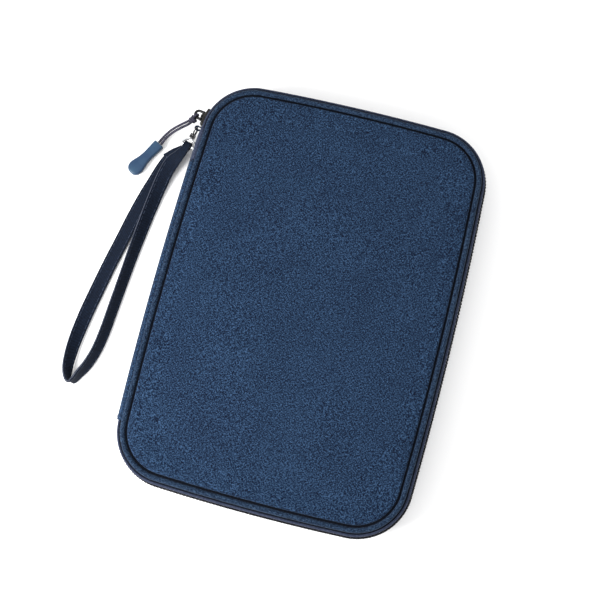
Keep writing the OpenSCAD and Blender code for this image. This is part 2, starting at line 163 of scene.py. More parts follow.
def grid_faces(rows, cols, wrap_rows=False, wrap_cols=False):
    faces = []
    for i in range(rows if wrap_rows else rows - 1):
        for j in range(cols if wrap_cols else cols - 1):
            a, b = i, (i + 1) % rows
            c, d = j, (j + 1) % cols
            faces.append((a * cols + c, b * cols + c, b * cols + d, a * cols + d))
    return faces


def lofted(verts, cols, closed=False):
    """The skin over rings of cols points each. An open run of rings gets a cap at both ends."""
    faces = grid_faces(len(verts) // cols, cols, closed, True)
    if not closed:
        faces += [tuple(range(cols)), tuple(range(len(verts) - cols, len(verts)))]
    return verts, faces


def sweep(line, profile, closed):
    """A closed profile of (inset, z) pairs swept along a flat line with normals."""
    points, normals = line
    verts = []
    for k, (p, n) in enumerate(zip(points, normals)):
        here = profile(k) if callable(profile) else profile
        verts += [(p[0] - n[0] * u, p[1] - n[1] * u, z) for u, z in here]
    return lofted(verts, len(verts) // len(points), closed)


def tube(points, radius, sides=8, guide=None, closed=False):
    """A round tube along 3-D points. guide gives a direction that the rings are turned to."""
    points = np.array(points, float)
    count = len(points)
    tangent = tangents(points, closed)
    guide = np.array((0.3, 0.2, 1.0)) if guide is None else np.array(guide, float)
    guide = np.broadcast_to(guide, points.shape)
    side = unit_rows(np.cross(tangent, guide))
    up = np.cross(side, tangent)
    radii = np.broadcast_to(radius, count)
    verts = []
    for k in range(count):
        for j in range(sides):
            a = 2 * math.pi * j / sides
            verts.append(tuple(points[k] + radii[k] * (math.cos(a) * side[k] + math.sin(a) * up[k])))
    return lofted(verts, sides, closed)


def smooth_curve(points, steps, closed=False):
    """Catmull-Rom points through the given ones."""
    pts = np.array(points, float)
    count = len(pts)
    out = []
    for k in range(count if closed else count - 1):
        if closed:
            p, q, r, s = (pts[(k + d) % count] for d in (-1, 0, 1, 2))
        else:
            p, q, r, s = (pts[min(max(k + d, 0), count - 1)] for d in (-1, 0, 1, 2))
        for t in np.arange(steps) / steps:
            upper = (-p + 3 * q - 3 * r + s) * t**3 + (2 * p - 5 * q + 4 * r - s) * t**2
            out.append((upper + (r - p) * t) / 2 + q)
    if not closed:
        out.append(pts[-1])
    return np.array(out)


def join(*parts):
    """Several (verts, faces) pairs as one."""
    verts, faces = [], []
    for v, f in parts:
        base = len(verts)
        verts += list(v)
        faces += [tuple(i + base for i in face) for face in f]
    return verts, faces


def mirrored(shape):
    """The same shape on the other cover."""
    verts, faces = shape
    return [(x, y, CASE_T - z) for x, y, z in verts], faces


def piece(name, shape, material, body=None, sharp=None):
    """Makes a Blender object of a shape in millimetres."""
    verts, faces = shape
    mesh = bpy.data.meshes.new(name)
    mesh.from_pydata([tuple(float(c) * MM for c in v) for v in verts], [], faces)
    bm = bmesh.new()
    bm.from_mesh(mesh)
    bmesh.ops.recalc_face_normals(bm, faces=bm.faces)
    bm.to_mesh(mesh)
    bm.free()
    mesh.shade_smooth()
    if sharp:
        mesh.set_sharp_from_angle(angle=math.radians(sharp))
    mesh.materials.append(material)
    obj = bpy.data.objects.new(name, mesh)
    bpy.context.scene.collection.objects.link(obj)
    if body:
        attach(obj, body)
    return obj


def apply_modifiers(obj):
    """Bakes an object's modifiers into its mesh."""
    depsgraph = bpy.context.evaluated_depsgraph_get()
    baked = bpy.data.meshes.new_from_object(obj.evaluated_get(depsgraph))
    obj.modifiers.clear()
    old = obj.data
    obj.data = baked
    bpy.data.meshes.remove(old)


def subdivided(obj, levels):
    smooth = obj.modifiers.new("smooth", "SUBSURF")
    smooth.levels = smooth.render_levels = levels
    apply_modifiers(obj)


def bevelled(obj, width, segments=2):
    """Rounds the hard edges of a metal or moulded piece."""
    bevel = obj.modifiers.new("bevel", "BEVEL")
    bevel.width = width * MM
    bevel.segments = segments
    bevel.limit_method = "ANGLE"
    bevel.angle_limit = math.radians(30)
    apply_modifiers(obj)
    obj.data.shade_smooth()
    obj.data.set_sharp_from_angle(angle=math.radians(40))
    return obj


def block(x0, x1, y0, y1, z0, z1):
    verts = [(x, y, z) for x in (x0, x1) for y in (y0, y1) for z in (z0, z1)]
    faces = [(0, 1, 3, 2), (4, 6, 7, 5), (0, 4, 5, 1), (2, 3, 7, 6), (0, 2, 6, 4), (1, 5, 7, 3)]
    return verts, faces


def stitches(line, up, length=2.4, gap=0.9, radius=0.17, sides=5):
    """A row of short thread stitches along 3-D points, each sunk at its ends."""
    line, up = np.array(line, float), np.array(up, float)
    along = distances(line)
    parts = []
    count = int((along[-1] - gap) / (length + gap))
    for k in range(count):
        at = gap + k * (length + gap) + length * np.array([0.0, 0.2, 0.5, 0.8, 1.0])
        middle = np.stack([np.interp(at, along, line[:, c]) for c in range(3)], axis=1)
        lift = np.array([-0.6, 0.5, 0.8, 0.5, -0.6]) * radius
        parts.append(tube(middle + lift[:, None] * up, radius, sides, guide=up))
    return join(*parts)


# ---- Materials ----


class Finish:
    """A principled material that is built node by node."""

    def __init__(self, name, roughness, metallic=0.0, sheen=0.0, coat=0.0, specular=0.5):
        self.material = bpy.data.materials.new(name)
        self.material.use_nodes = True
        self.tree = self.material.node_tree
        self.tree.nodes.clear()
        self.shader = self.node("ShaderNodeBsdfPrincipled")
        output = self.node("ShaderNodeOutputMaterial")
        self.link(self.shader.outputs["BSDF"], output.inputs["Surface"])
        self.shader.inputs["Roughness"].default_value = roughness
        self.shader.inputs["Metallic"].default_value = metallic
        self.shader.inputs["Sheen Weight"].default_value = sheen
        self.shader.inputs["Sheen Roughness"].default_value = 0.45
        self.shader.inputs["Coat Weight"].default_value = coat
        self.shader.inputs["Specular IOR Level"].default_value = specular
        self.place = self.node("ShaderNodeTexCoord").outputs["Object"]

    def node(self, kind, **settings):
        made = self.tree.nodes.new(kind)
        for key, value in settings.items():
            setattr(made, key, value)
        return made

    def link(self, a, b):
        self.tree.links.new(a, b)

    def math(self, operation, a, b=0.0):
        made = self.node("ShaderNodeMath", operation=operation)
        for socket, value in zip(made.inputs, (a, b)):
            if isinstance(value, (int, float)):
                socket.default_value = value
            else:
                self.link(value, socket)
        return made.outputs["Value"]

    def noise(self, size_mm, detail=2.0, stretch=(1, 1, 1), rough=0.5, turn=0.0):
        """Noise with features about size_mm long, drawn out by stretch along each axis."""
        mapping = self.node("ShaderNodeMapping")
        mapping.inputs["Scale"].default_value = [1000 / size_mm / s for s in stretch]
        mapping.inputs["Rotation"].default_value = (0, 0, math.radians(turn))
        self.link(self.place, mapping.inputs["Vector"])
        made = self.node("ShaderNodeTexNoise")
        made.inputs["Scale"].default_value = 1.0
        made.inputs["Detail"].default_value = detail
        made.inputs["Roughness"].default_value = rough
        self.link(mapping.outputs["Vector"], made.inputs["Vector"])
        return made.outputs["Fac"]

    def bands(self, pitch_mm, axis):
        """Even bands across one axis, from 0 to 1."""
        made = self.node("ShaderNodeTexWave", wave_type="BANDS", bands_direction=axis, wave_profile="SIN")
        made.inputs["Scale"].default_value = 2 * math.pi / (20 * pitch_mm * MM)
        made.inputs["Distortion"].default_value = 0.0
        self.link(self.place, made.inputs["Vector"])
        return made.outputs["Fac"]

    def ramp(self, value, stops):
        made = self.node("ShaderNodeValToRGB")
        while len(made.color_ramp.elements) < len(stops):
            made.color_ramp.elements.new(0.5)
        for element, (at, colour) in zip(made.color_ramp.elements, stops):
            element.position = at
            element.color = (*colour, 1)
        self.link(value, made.inputs["Fac"])
        return made.outputs["Color"]

    def colour(self, value):
        self.link(value, self.shader.inputs["Base Color"])

    def roughness(self, value, low, high):
        made = self.node("ShaderNodeMapRange")
        made.inputs["To Min"].default_value = low
        made.inputs["To Max"].default_value = high
        self.link(value, made.inputs["Value"])
        self.link(made.outputs["Result"], self.shader.inputs["Roughness"])

    def bump(self, height, depth_mm, strength=1.0):
        made = self.node("ShaderNodeBump")
        made.inputs["Strength"].default_value = strength
        made.inputs["Distance"].default_value = depth_mm * MM
        self.link(height, made.inputs["Height"])
        self.link(made.outputs["Normal"], self.shader.inputs["Normal"])


def woven(
    name, dark, middle, light, pitch=0.55, fleck=1.0, sheen=0.04, rough=0.88, depth=0.16, contrast=1.0
):
    """A plain weave of mixed yarns: flecks drawn out along warp and weft, over a fine grain."""
    f = Finish(name, rough, sheen=sheen, specular=0.1)
    weft = f.noise(0.62 * fleck, 1.5, (2.6, 0.8, 1.2), turn=4)
    warp = f.noise(0.62 * fleck, 1.5, (0.8, 2.4, 1.2), turn=-3)
    broad = f.noise(26, 2.0)
    yarns = f.math("ADD", f.math("MULTIPLY", weft, 0.5), f.math("MULTIPLY", warp, 0.5))
    yarns = f.math("ADD", yarns, f.math("MULTIPLY", f.math("SUBTRACT", broad, 0.5), 0.04))
    spread = 0.17 / contrast
    f.colour(f.ramp(yarns, [(0.5 - spread, dark), (0.5, middle), (0.5 + spread, light)]))
    grain = f.math("MULTIPLY", f.bands(pitch, "X"), f.bands(pitch, "Y"))
    f.bump(f.math("ADD", grain, f.math("MULTIPLY", yarns, 1.2)), depth, 0.55)
    f.roughness(yarns, rough - 0.08, min(rough + 0.08, 1.0))
    return f.material


def webbing(name, dark, light, pitch=0.9, rough=0.8):
    """Dense narrow webbing with ribs across it."""
    f = Finish(name, rough, sheen=0.03, specular=0.12)
    mottle = f.noise(0.9, 2.0, (1.3, 1.3, 1.0))
    ribs = f.math("MULTIPLY", f.bands(pitch, "DIAGONAL"), 0.6)
    tone = f.math("ADD", f.math("MULTIPLY", mottle, 0.8), f.math("MULTIPLY", ribs, 0.35))
    f.colour(f.ramp(tone, [(0.3, dark), (0.78, light)]))
    f.bump(f.math("ADD", ribs, mottle), 0.14, 0.5)
    f.roughness(mottle, rough - 0.1, rough + 0.1)
    return f.material


def moulded(name, dark, light, rough, grain=0.5, coat=0.0, depth=0.03, specular=0.45):
    """Rubber or plastic with a faint mottled grain."""
    f = Finish(name, rough, coat=coat, specular=specular)
    broad = f.noise(7, 3.0)
    f.colour(f.ramp(broad, [(0.3, dark), (0.7, light)]))
    fine = f.noise(grain, 3.0)
    f.bump(fine, depth, 0.6)
    f.roughness(fine, rough - 0.07, rough + 0.07)
    return f.material


def metal(name, dark, light, rough, metallic=1.0, coat=0.0):
    """Plated or lacquered metal with a slightly uneven polish."""
    f = Finish(name, rough, metallic, coat=coat)
    wear = f.noise(1.8, 4.0, rough=0.65)
    f.colour(f.ramp(wear, [(0.35, dark), (0.7, light)]))
    f.roughness(wear, rough * 0.7, min(rough * 1.5, 1.0))
    f.bump(f.noise(0.5, 3.0), 0.012, 0.5)
    return f.material


COVER_CLOTH = woven(
    "navy_melange", (0.0004, 0.0018, 0.009), (0.0033, 0.0115, 0.0305), (0.032, 0.07, 0.14),
    fleck=0.66, contrast=1.7,
)
PIPING_CLOTH = woven(
    "piping_melange", (0.0008, 0.003, 0.0105), (0.006, 0.0152, 0.035), (0.036, 0.066, 0.116),
    fleck=0.62, contrast=1.4,
)
GUSSET_CLOTH = woven(
    "gusset_navy", (0.008, 0.012, 0.026), (0.022, 0.029, 0.054), (0.058, 0.07, 0.112),
    fleck=0.6, rough=0.82,
)
TAPE_CLOTH = woven(
    "zip_tape_navy", (0.002, 0.0025, 0.007), (0.004, 0.005, 0.012), (0.009, 0.011, 0.022),
    fleck=0.6, depth=0.1,
)
# Near-black cloth for the groove strips: painted shade in the grooves beside the piping.
GROOVE_SHADE_CLOTH = woven(
    "groove_painted_shade", (0.0005, 0.001, 0.003), (0.001, 0.002, 0.005), (0.003, 0.005, 0.01),
    fleck=0.6, sheen=0, depth=0.1,
)
LINING_CLOTH = woven(
    "charcoal_lining", (0.016, 0.019, 0.028), (0.026, 0.03, 0.042), (0.045, 0.051, 0.066),
    pitch=0.3, fleck=0.5, sheen=0.3, rough=0.6, depth=0.05,
)
POCKET_CLOTH = woven(
    "pocket_lining", (0.022, 0.026, 0.037), (0.035, 0.04, 0.055), (0.06, 0.067, 0.085),
    pitch=0.3, fleck=0.5, sheen=0.3, rough=0.62, depth=0.05,
)
BINDING_CLOTH = webbing("edge_binding", (0.007, 0.008, 0.014), (0.03, 0.034, 0.05), 0.7)
STRAP_CLOTH = webbing("strap_webbing", (0.001, 0.0028, 0.008), (0.006, 0.0118, 0.0265), 0.8)
CORD_CLOTH = webbing("braided_cord", (0.006, 0.006, 0.012), (0.07, 0.068, 0.1), 0.9)
# Lighter cloth for the strap's raised rims: a painted highlight where the edges catch the light.
EDGE_HIGHLIGHT_CLOTH = webbing("strap_edge_painted_highlight", (0.02, 0.024, 0.038), (0.09, 0.1, 0.13), 0.8)
THREAD = moulded("navy_thread", (0.02, 0.03, 0.06), (0.05, 0.07, 0.12), 0.6, 0.2)
COIL_NYLON = moulded("black_nylon", (0.002, 0.002, 0.004), (0.006, 0.006, 0.009), 0.5, 0.3, specular=0.16)
MESH_YARN = moulded("mesh_yarn", (0.01, 0.011, 0.016), (0.025, 0.027, 0.036), 0.7, 0.2)
TAB_RUBBER = moulded(
    "blue_rubber", (0.0095, 0.032, 0.077), (0.0185, 0.052, 0.096), 0.5, grain=0.35, coat=0.04, specular=0.3
)
BLACK_METAL = metal("black_lacquer", (0.004, 0.004, 0.0045), (0.016, 0.016, 0.014), 0.32, 0.6, 0.12)
GUNMETAL = metal("gunmetal", (0.02, 0.02, 0.021), (0.1, 0.1, 0.104), 0.26)
SILVER = metal("bright_nickel", (0.55, 0.56, 0.58), (0.8, 0.81, 0.83), 0.14)


# ---- Camera, light and floor ----


def make_camera():
    """The camera looks down from the right of the case's foot, turned round its own line of sight."""
    place = Vector((58.0, -98.1, 650.7)) * MM
    aim = Vector((-3.1, 3.2, 12.5)) * MM
    roll = math.radians(-14.8)
    back = (place - aim).normalized()
    up = (Vector((0, 1, 0)) - back * back.y).normalized()
    side = up.cross(back)
    up, side = (
        up * math.cos(roll) + side * math.sin(roll),
        side * math.cos(roll) - up * math.sin(roll),
    )
    data = bpy.data.cameras.new("camera")
    data.lens, data.sensor_width = 66, 36
    data.clip_start, data.clip_end = 0.01, 20
    camera = bpy.data.objects.new("camera", data)
    turn = Matrix((side, up, back)).transposed().to_4x4()
    camera.matrix_world = Matrix.Translation(place) @ turn
    bpy.context.scene.collection.objects.link(camera)
    bpy.context.scene.camera = camera


def area_light(name, place, size, power, aim=(0, 0, 0.01)):
    data = bpy.data.lights.new(name, "AREA")
    data.shape, data.size, data.energy = "DISK", size, power
    lamp = bpy.data.objects.new(name, data)
    lamp.location = place
    lamp.rotation_euler = (Vector(aim) - Vector(place)).to_track_quat("-Z", "Y").to_euler()
    bpy.context.scene.collection.objects.link(lamp)


def make_studio():
    world = bpy.data.worlds.new("studio")
    bpy.context.scene.world = world
    world.use_nodes = True
    world.node_tree.nodes["Background"].inputs["Color"].default_value = (1, 1, 1, 1)
    world.node_tree.nodes["Background"].inputs["Strength"].default_value = 1.1
    area_light("key", (-0.42, -0.28, 0.34), 0.35, 6)
    area_light("fill", (0.7, 0.3, 1.4), 2.0, 5)
    floor_finish = Finish("pale_floor", 0.6, specular=0.1)
    floor_finish.colour(floor_finish.ramp(floor_finish.noise(60), [(0, (0.955,) * 3), (1, (0.965,) * 3)]))
    side = 3.0 / MM
    piece("floor", block(-side, side, -side, side, -20, -0.05), floor_finish.material)
    bpy.context.scene.view_settings.view_transform = "Standard"


# ---- Padded covers ----

PANEL_EDGE = COVER_INSET + 1.3
GRID = 4.2
CROWN = 0.75


def panel_net():
    """The flat net of a cover's face: an even grid of triangles up to the pinned edge ring."""
    points, normals = rounded_line(closed=True, step=GRID)
    ring = points - normals * PANEL_EDGE
    inner = []
    rows = int(2 * HALF_L / (GRID * 0.87))
    for row in range(rows):
        y = -HALF_L + row * GRID * 0.87
        for col in range(int(2 * HALF_W / GRID) + 1):
            x = -HALF_W + (col + 0.5 * (row % 2)) * GRID
            if inside_outline(x, y, PANEL_EDGE + GRID * 0.55):
                inner.append((x, y))
    coords = [Vector(p) for p in ring] + [Vector(p) for p in inner]
    edges = [(k, (k + 1) % len(ring)) for k in range(len(ring))]
    verts, _, faces, *_ = geometry.delaunay_2d_cdt(coords, edges, [], 1, 1e-4)
    return [tuple(v) for v in verts], [tuple(f) for f in faces], len(ring)


def crown_by_cloth(verts, faces, pinned):
    """How far each point of the net rises when the foam pushes the pinned cloth outward."""
    mesh = bpy.data.meshes.new("net")
    mesh.from_pydata([(x * MM, y * MM, 0) for x, y in verts], [], faces)
    net = bpy.data.objects.new("net", mesh)
    bpy.context.scene.collection.objects.link(net)
    group = net.vertex_groups.new(name="seam")
    group.add(list(range(pinned)), 1.0, "REPLACE")
    cloth = net.modifiers.new("cloth", "CLOTH")
    settings = cloth.settings
    settings.quality = 6
    settings.mass = 0.15
    settings.tension_stiffness = settings.compression_stiffness = 30
    settings.shear_stiffness = 8
    settings.bending_stiffness = 1.5
    settings.shrink_min = -0.006
    settings.use_pressure = True
    settings.uniform_pressure_force = 4.0
    settings.vertex_group_mass = "seam"
    settings.effector_weights.gravity = 0
    cloth.collision_settings.use_collision = False
    scene = bpy.context.scene
    for number in range(1, 21):
        scene.frame_set(number)
    evaluated = net.evaluated_get(bpy.context.evaluated_depsgraph_get())
    rise = np.array([abs(v.co.z) for v in evaluated.data.vertices]) / MM
    scene.frame_set(1)
    bpy.data.objects.remove(net)
    return rise


def cover_shape(face_z, foot_z, crown, net, rise):
    """A closed padded cover: its crowned face, rounded edge and flat inner side. It is built facing up."""
    verts, faces, pinned = net
    top = []
    for (x, y), r in zip(verts, rise):
        soft = 0.07 * noise.noise(Vector((x / 31, y / 37, 0.4)))
        top.append((x, y, face_z + crown * math.tanh(r / 1.2) + soft * min(r, 1)))
    points, normals = rounded_line(closed=True, step=GRID)
    points, normals = points[:pinned], normals[:pinned]
    edge = [(0.95, -0.12), (0.62, -0.45), (0.42, -1.0), (0.2, -2.0), (0.3, foot_z - face_z)]
    shape_verts = list(top)
    rings = [list(range(pinned))]
    for out, drop in edge:
        start = len(shape_verts)
        inset = COVER_INSET + out - 0.05
        shape_verts += [
            (p[0] - n[0] * inset, p[1] - n[1] * inset, face_z + drop) for p, n in zip(points, normals)
        ]
        rings.append(list(range(start, start + pinned)))
    shape_faces = list(faces)
    for a, b in zip(rings, rings[1:]):
        shape_faces += [(a[k], a[(k + 1) % pinned], b[(k + 1) % pinned], b[k]) for k in range(pinned)]
    shape_faces.append(tuple(rings[-1]))
    return shape_verts, shape_faces


def make_covers():
    net = panel_net()
    rise = crown_by_cloth(*net)
    foot = box_mm("back_foam_board")[1].z
    front = cover_shape(CASE_T - 0.15, CASE_T - foot, CROWN, net, rise)
    back = mirrored(cover_shape(CASE_T - 0.25, CASE_T - foot, 0.12, net, rise))
    for body, shape in (("front", front), ("back", back)):
        cover = piece(f"{body}_cover", shape, COVER_CLOTH)
        subdivided(cover, 1)
        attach(cover, body)
        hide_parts(f"{body}_cover_fabric", f"{body}_foam_board")


# ---- Piping, gusset and zip ----


def on_both_covers(make, name, material, slot, *replaced):
    """The same piece on the front cover and, turned over, on the back one. make gets the cover's name."""
    made = []
    for body in ("front", "back"):
        shape = make(body)
        if body == "back":
            shape = mirrored(shape)
        obj = piece(f"{body}_{name}", shape, material, body)
        if replaced:
            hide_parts(*[f"{body}_{node}" for node in replaced])
        made.append(obj)
    return made


def piping_shape(body):
    line = rounded_line(closed=True, step=0.9)
    centre_z = CASE_T - PIPING_DEPTH

    def profile(k):
        x, y = line[0][k]
        pucker = 0.035 * math.sin(k * 0.9 * 2 * math.pi / 3.4) + 0.09 * noise.noise(Vector((x / 9, y / 9, 3)))
        r = PIPING_R + pucker
        return [
            (PIPING_INSET + r * math.cos(a), centre_z + r * 1.03 * math.sin(a))
            for a in np.linspace(0, 2 * math.pi, 13)[:-1]
        ]

    return sweep(line, profile, True)


def gusset_shape(body):
    """The wall between piping and zip. Beside the spine it swells out to meet the spine's strip."""
    line = rounded_line(tail=True, step=1.6)
    wall = [
        (4.4, -3.9), (3.8, -3.3), (3.3, -2.7), (2.8, -2.45), (2.3, -2.85), (1.95, -3.9), (1.95, -5.6),
        (2.15, -8.4),
    ]
    ridge = [
        (4.6, -2.3), (4.1, -1.9), (3.3, -1.85), (2.4, -2.3), (1.4, -3.5), (0.75, -5.0), (0.35, -6.9),
        (0.3, -8.4),
    ]
    swell_from, swell_over = 93.0, 9.0
    inner = [(3.0, -8.4), (3.25, -6.6), (3.4, -4.9), (3.75, -4.2), (4.2, -4.1), (4.6, -4.2)]

    def profile(k):
        x, y = line[0][k]
        share = min(max((swell_from - y) / swell_over, 0.0), 1.0) if x < 0 and y > 60 else 0.0
        share = share * share * (3 - 2 * share)
        outer = [(u + (s - u) * share, z + (t - z) * share) for (u, z), (s, t) in zip(wall, ridge)]
        return [(u, CASE_T + z) for u, z in outer + inner]

    return sweep(line, profile, False)


def groove_shade_shape(body):
    """Near-black strips at the foot of the two grooves beside the piping: painted shade, standing in for the
    shadow down in the grooves.
    """
    line = rounded_line(closed=True, step=1.6)
    foot = CASE_T - 1.75
    beside_cover = [(6.9, foot + 0.3), (8.5, foot + 0.45), (8.5, foot - 0.3), (6.9, foot - 0.3)]
    beside_wall = [(3.45, foot - 0.95), (4.6, foot - 0.6), (4.6, foot - 1.4), (3.45, foot - 1.4)]
    return join(sweep(line, beside_cover, True), sweep(line, beside_wall, True))


def tape_shape(body):
    start = 180.0 if body == "back" else COIL_START["front"]
    line = rounded_line(start=start, tail=body == "back", step=1.6)
    outer = [(2.3, 17.2), (2.2, 15.9), (2.25, 14.4), (2.3, 13.3)]
    inner = [(2.8, 13.3), (2.85, 14.4), (2.85, 15.9), (2.95, 17.2)]
    return sweep(line, outer + inner, False)


def coil_shape(body):
    """One side of the zip: a nylon coil whose loops reach between the other side's loops."""
    points, normals = rounded_line(start=COIL_START[body], step=COIL_PITCH / COIL_STEPS)
    count = len(points)
    shift = 0.0 if body == "front" else 0.5
    phase = 2 * math.pi * (np.arange(count) / COIL_STEPS + shift)
    if body == "back":
        phase = phase + 2 * math.pi * (count_before_front() / COIL_STEPS)
    inset = 1.35 + 0.55 * np.cos(phase)
    low, high = MID_Z - 0.35, 14.8
    z = (low + high) / 2 + (high - low) / 2 * np.sin(phase)
    centre = np.column_stack([points - normals * inset[:, None], z])
    along = np.column_stack([normals[:, 1], -normals[:, 0], np.zeros(count)])
    return tube(centre, COIL_WIRE, 6, guide=along)


def count_before_front():
    """Coil steps by which the back's coil starts before the front's, so that the loops interleave."""
    arc = math.radians(COIL_START["back"] - COIL_START["front"]) * CORNER_R
    return -arc / (COIL_PITCH / COIL_STEPS)


def make_edges():
    on_both_covers(piping_shape, "edge_piping", PIPING_CLOTH, "piping_fabric", "piping")
    on_both_covers(gusset_shape, "side_gusset", GUSSET_CLOTH, "gusset_fabric", "gusset")
    # Painted shade: near-black strips laid in the grooves beside the piping, where there is only shadow.
    on_both_covers(groove_shade_shape, "groove_shade_strip", GROOVE_SHADE_CLOTH, "piping_fabric")
    on_both_covers(tape_shape, "tape", TAPE_CLOTH, "zip_tape", "zip_tape")
    on_both_covers(coil_shape, "coil_teeth", COIL_NYLON, "zip_coil", "zip_coil")


# ---- Spine ----


def spine_bow(y):
    return BOW_LONG * (1 - (y / CORNER_Y) ** 2)


def spine_strip(profile, y0, y1):
    """A strip along the spine from (inset, z) pairs that follows the case's bowed side."""
    rows = np.linspace(y0, y1, 90)
    verts = []
    for y in rows:
        edge = -CORNER_X - CORNER_R - spine_bow(y)
        verts += [(edge + u, y, z) for u, z in profile]
    return lofted(verts, len(profile))


def make_spine():
    """The outer strip and its lining are each cut along the middle into a front half and a back half."""
    low, high = SPINE_LOW.y - 3.4, SPINE_HIGH.y + 2.0
    ridge = [
        (4.6, 22.7), (4.1, 23.1), (3.4, 23.15), (2.6, 22.75), (1.8, 22.0), (1.1, 20.9), (0.6, 19.4),
        (0.3, 17.6), (0.15, 15.4), (0.1, MID_Z),
    ]
    under = [
        (0.95, MID_Z), (1.0, 15.4), (1.15, 17.6), (1.4, 19.1), (1.9, 20.3), (2.5, 21.2), (3.2, 21.8),
        (3.9, 22.1), (4.6, 21.9),
    ]
    inner = [(9.6, 20.25), (6.5, 20.3), (4.4, 19.9), (3.2, 19.0), (2.6, 17.8), (2.3, 15.5), (2.2, MID_Z)]
    back_of = [(1.7, MID_Z), (1.8, 15.6), (2.1, 18.2), (2.8, 19.6), (4.2, 20.5), (6.5, 20.9), (9.6, 20.8)]
    for name, shape, cloth, slot in (
        ("spine_cover", ridge + under, COVER_CLOTH, "navy_fabric"),
        ("spine_inner", inner + back_of, LINING_CLOTH, "lining"),
    ):
        strip = spine_strip(shape, low, high if name == "spine_cover" else high - 2)
        upper = piece(f"{name}_front", strip, cloth)
        lower = piece(f"{name}_back", mirrored(strip), cloth)
        middle = CASE_T - 2.2 if name == "spine_cover" else CASE_T - 5.0
        for obj, pair, at in (
            (upper, ("spine", "front"), middle),
            (lower, ("back", "spine"), CASE_T - middle),
        ):
            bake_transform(obj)
        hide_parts("spine_fabric" if name == "spine_cover" else "spine_lining")
        if name == "spine_cover":
            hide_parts("spine_board")


def make_end_cover():
    """A folded, pointed patch over the zip's far end."""
    x = -CORNER_X - CORNER_R
    y = -CORNER_Y
    line = smooth_curve([
        (x + 1.6, y + 4.2), (x - 0.55, y + 3.4), (x - 1.5, y + 1.6), (x - 1.35, y + 0.3), (x + 0.2, y - 1.6),
        (x + 1.8, y - 2.2),
    ], 5)
    thick = 0.55
    verts = []
    for z in np.linspace(6.2, 11.3, 8):
        verts += [(p[0], p[1], z) for p in line] + [(p[0] + thick, p[1], z) for p in line[::-1]]
    patch = piece("zip_end_patch", lofted(verts, 2 * len(line)), COVER_CLOTH, "back")
    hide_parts("zip_end_cover")


# ---- Slider and puller ----


def at_slider(r, angle, z):
    """A point by its radius and angle from the slider's middle, round the top corner by the spine."""
    a = math.radians(SLIDER_ANGLE + angle)
    return (-CORNER_X + r * math.cos(a), CORNER_Y + r * math.sin(a), z)


def slider_plate(section, half):
    """A section of (radius, z) pairs swept round the corner, drawn in at both ends."""
    turns = np.array([-1, -0.97, -0.9, -0.6, -0.3, 0, 0.3, 0.6, 0.9, 0.97, 1]) * half
    middle = np.mean(np.array(section), axis=0)
    verts = []
    for t in turns:
        share = 1 - 0.16 * (abs(t) / half > 0.96) - 0.12 * (abs(t) / half > 0.99)
        for r, z in section:
            verts.append(at_slider(r, t, middle[1] + (z - middle[1]) * share))
    return lofted(verts, len(section))


def make_slider():
    half, reach = 9.4, 3.55
    outer = CORNER_R + 0.35
    inner = CORNER_R - 3.25
    lip = 0.7
    shell = [
        (outer, MID_Z - reach + lip), (outer - 2.0, MID_Z - reach + lip), (outer - 2.0, MID_Z - reach),
        (outer + 0.6, MID_Z - reach - 0.05), (outer + 1.05, MID_Z - reach + 0.5),
        (outer + 1.05, MID_Z + reach - 0.5), (outer + 0.6, MID_Z + reach + 0.05),
        (outer - 2.0, MID_Z + reach), (outer - 2.0, MID_Z + reach - lip), (outer, MID_Z + reach - lip),
    ]
    plate = [
        (inner, MID_Z - reach), (inner, MID_Z + reach), (inner - 0.9, MID_Z + reach),
        (inner - 0.9, MID_Z - reach),
    ]
    foot = outer + 0.9
    crown = []
    for z in (-1.3, -0.6, 0.6, 1.3):
        ring = []
        for a in np.linspace(0, math.pi, 9):
            ring.append((foot + 2.4 * math.sin(a), 2.0 * math.cos(a)))
        wall = ring + [(foot + (r - outer - 0.9) * 0.55, t * 0.62) for r, t in ring[::-1]]
        crown.append([at_slider(r, t, MID_Z + z) for r, t in wall])
    cols = len(crown[0])
    crown_faces = grid_faces(len(crown), cols, False, True)
    half_cols = cols // 2
    for row in (0, len(crown) - 1):
        base = row * cols
        crown_faces += [
            (base + k, base + k + 1, base + cols - 2 - k, base + cols - 1 - k) for k in range(half_cols - 1)
        ]
    crown_shape = ([v for row in crown for v in row], crown_faces)
    shape = join(slider_plate(shell, half), slider_plate(plate, half), crown_shape)
    body = bevelled(piece("slider_body", shape, BLACK_METAL), 0.22)
    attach(body, "slider")
    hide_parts("zip_slider")


# The cord's route: out of the tab, round the bail and back into the tab
CORD_ROUTE = [
    (-114, 79.2, 2.6), (-111.8, 83.2, 3.6), (-109, 86.2, 5.9), (-105.2, 89.1, 8.8),
    (-101, 91.6, 11.3), (-97.6, 93.7, 12.9), (-94.9, 96, 13.9), (-93.85, 98, 14.25),
    (-93, 98.9, 13.75), (-92.65, 99.25, 12.5), (-93, 98.9, 11.25), (-93.85, 98, 10.75),
    (-94.7, 95.8, 11), (-97.4, 92.4, 10.9), (-101, 89.9, 9.7), (-105, 87.2, 7.6),
    (-108.3, 84.6, 5.2), (-110.6, 81.9, 3.4), (-112.3, 78.2, 2.6),
]
CORD_D = 1.6
KNOT = Vector((-94.9, 95.5, 12.35))
TAB_MOUTH, TAB_HEADING = Vector((-113.3, 78.5, 2.6)), 240.6


def make_cord(knot, tab):
    data = bpy.data.curves.new("puller_cord", "CURVE")
    data.dimensions = "3D"
    data.bevel_depth = CORD_D / 2 * MM
    data.bevel_resolution = 3
    points = smooth_curve(CORD_ROUTE, 8)
    spline = data.splines.new("POLY")
    spline.points.add(len(points) - 1)
    for target, p in zip(spline.points, points):
        target.co = (*(p * MM), 1)
    data.materials.append(CORD_CLOTH)
    cord = bpy.data.objects.new("cord_loop", data)
    bpy.context.scene.collection.objects.link(cord)
    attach(cord, "puller")
    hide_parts("puller_cord")


